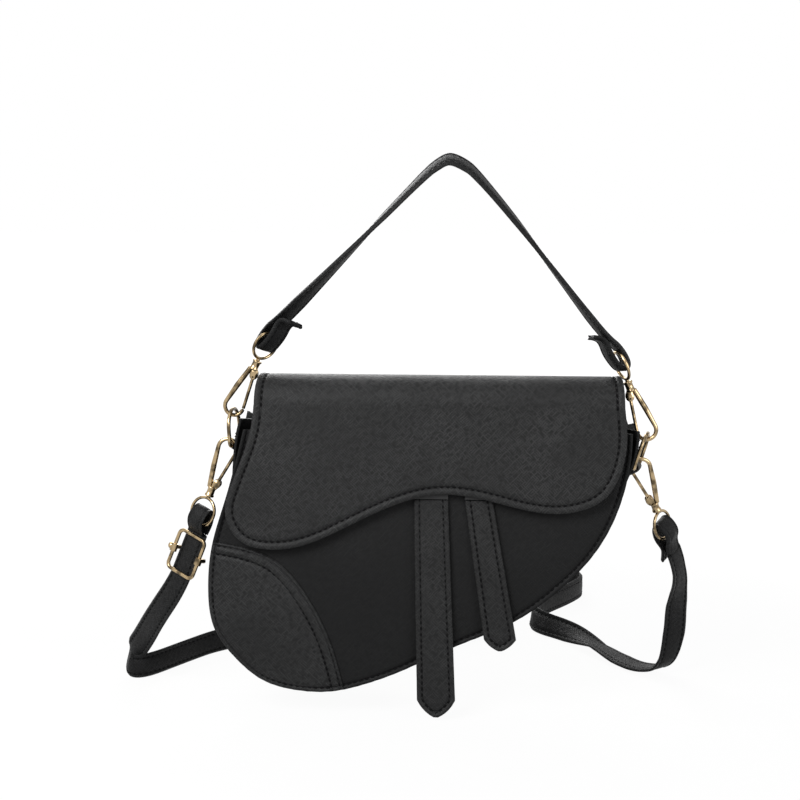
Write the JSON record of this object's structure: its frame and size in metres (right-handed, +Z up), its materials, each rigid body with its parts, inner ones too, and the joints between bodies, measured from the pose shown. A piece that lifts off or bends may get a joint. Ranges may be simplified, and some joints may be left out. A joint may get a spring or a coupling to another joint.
{
  "type": "saddle handbag",
  "caption": "Saddle-shaped flap handbag held up by its short handle, with hanging leather tails, snap hooks on D-rings and a long adjustable crossbody strap trailing on the floor.",
  "frame": {"origin": "underside of the handle's peak, where a hand or peg holds the bag", "axes": "+Z up, -Y out of the front flap, +X to the right when facing the flap"},
  "size_m": [0.3373, 0.2713, 0.3107],
  "materials": {
    "leather": "cross-hatch embossed, satin",
    "hardware": "pale gold plated, polished",
    "lining_cloth": "woven lining"
  },
  "bodies": {
    "handle": {"handle_strap": "leather", "upper_left_eye": "hardware", "upper_right_eye": "hardware"},
    "bag": {"front_panel": "leather", "back_panel": "leather", "front_welt": "leather", "back_welt": "leather", "corner_patch": "leather", "gusset": "leather", "lining": "lining_cloth", "crown": "leather", "left_tab": "leather", "right_tab": "leather", "snap_socket": "hardware", "lower_left_eye": "hardware", "lower_right_eye": "hardware", "strap_left_loop": "leather", "strap_left_run": "leather", "strap_back_run": "leather", "strap_right_run": "leather", "strap_right_loop": "leather"},
    "flap": {"flap": "leather", "flap_lining": "lining_cloth", "snap_stud": "hardware", "left_tail_root": "leather", "right_tail_root": "leather"},
    "left_tail": {"left_tail": "leather"},
    "right_tail": {"right_tail": "leather"},
    "left_ring": {"left_d_ring": "hardware"},
    "right_ring": {"right_d_ring": "hardware"},
    "slider": {"slider_frame": "hardware", "slider_bar": "hardware"},
    "upper_left_hook": {"upper_left_hook": "hardware", "upper_left_pin": "hardware"},
    "upper_left_gate": {"upper_left_gate": "hardware"},
    "upper_right_hook": {"upper_right_hook": "hardware", "upper_right_pin": "hardware"},
    "upper_right_gate": {"upper_right_gate": "hardware"},
    "lower_left_hook": {"lower_left_hook": "hardware", "lower_left_pin": "hardware"},
    "lower_left_gate": {"lower_left_gate": "hardware"},
    "lower_right_hook": {"lower_right_hook": "hardware", "lower_right_pin": "hardware"},
    "lower_right_gate": {"lower_right_gate": "hardware"}
  },
  "joints": [
    {"name": "handle_swing", "type": "hinge", "parent": "handle", "child": "bag", "pos_m": [-0.00686, 0, -0.15536], "axis": [0.9989, 0, -0.0469], "range_deg": [-30, 30]},
    {"name": "flap_hinge", "type": "hinge", "parent": "bag", "child": "flap", "pos_m": [-0.005, -0.01839, -0.134], "axis": [-1, 0, 0], "range_deg": [0, 150]},
    {"name": "left_tail_bend", "type": "hinge", "parent": "flap", "child": "left_tail", "pos_m": [-0.0086, -0.02213, -0.186], "axis": [-1, 0, 0], "range_deg": [0, 45]},
    {"name": "right_tail_bend", "type": "hinge", "parent": "flap", "child": "right_tail", "pos_m": [0.0177, -0.02213, -0.186], "axis": [-1, 0, 0], "range_deg": [0, 45]},
    {"name": "left_ring_tilt", "type": "hinge", "parent": "bag", "child": "left_ring", "pos_m": [-0.12095, 0, -0.15947], "axis": [0.1044, 0.9945, 0.0055], "range_deg": [0, 6]},
    {"name": "right_ring_tilt", "type": "hinge", "parent": "bag", "child": "right_ring", "pos_m": [0.10495, 0, -0.16983], "axis": [-0.2314, -0.9703, 0.0707], "range_deg": [0, 6]},
    {"name": "upper_left_swivel", "type": "hinge", "parent": "handle", "child": "upper_left_hook", "pos_m": [-0.10868, 0, -0.11442], "axis": [0.4691, 0, 0.8832], "range_deg": [-15, 15]},
    {"name": "upper_left_gate_hinge", "type": "hinge", "parent": "upper_left_hook", "child": "upper_left_gate", "pos_m": [-0.11005, 0, -0.12105], "axis": [0, 1, 0], "range_deg": [0, 20], "stiffness_Nm_per_rad": 0.004},
    {"name": "upper_right_swivel", "type": "hinge", "parent": "handle", "child": "upper_right_hook", "pos_m": [0.10003, 0, -0.12442], "axis": [-0.3791, 0, 0.9253], "range_deg": [-15, 15]},
    {"name": "upper_right_gate_hinge", "type": "hinge", "parent": "upper_right_hook", "child": "upper_right_gate", "pos_m": [0.10074, 0, -0.13115], "axis": [0, -1, 0], "range_deg": [0, 20], "stiffness_Nm_per_rad": 0.004},
    {"name": "lower_left_swivel", "type": "hinge", "parent": "bag", "child": "lower_left_hook", "pos_m": [-0.13379, -0.00879, -0.18548], "axis": [-0.37, -0.06, -0.9271], "range_deg": [-15, 15]},
    {"name": "lower_left_gate_hinge", "type": "hinge", "parent": "lower_left_hook", "child": "lower_left_gate", "pos_m": [-0.12962, -0.00845, -0.18016], "axis": [0, -0.9979, 0.0646], "range_deg": [0, 20], "stiffness_Nm_per_rad": 0.004},
    {"name": "lower_right_swivel", "type": "hinge", "parent": "bag", "child": "lower_right_hook", "pos_m": [0.11771, 0.01445, -0.19572], "axis": [0.3596, 0.2497, -0.8991], "range_deg": [-15, 15]},
    {"name": "lower_right_gate_hinge", "type": "hinge", "parent": "lower_right_hook", "child": "lower_right_gate", "pos_m": [0.1136, 0.01283, -0.19059], "axis": [-0.0928, 0.9683, 0.2319], "range_deg": [0, 20], "stiffness_Nm_per_rad": 0.004},
    {"name": "slider_slide", "type": "slide", "parent": "bag", "child": "slider", "axis": [-0.37, -0.06, -0.9271], "range_m": [0, 0.008]}
  ]
}
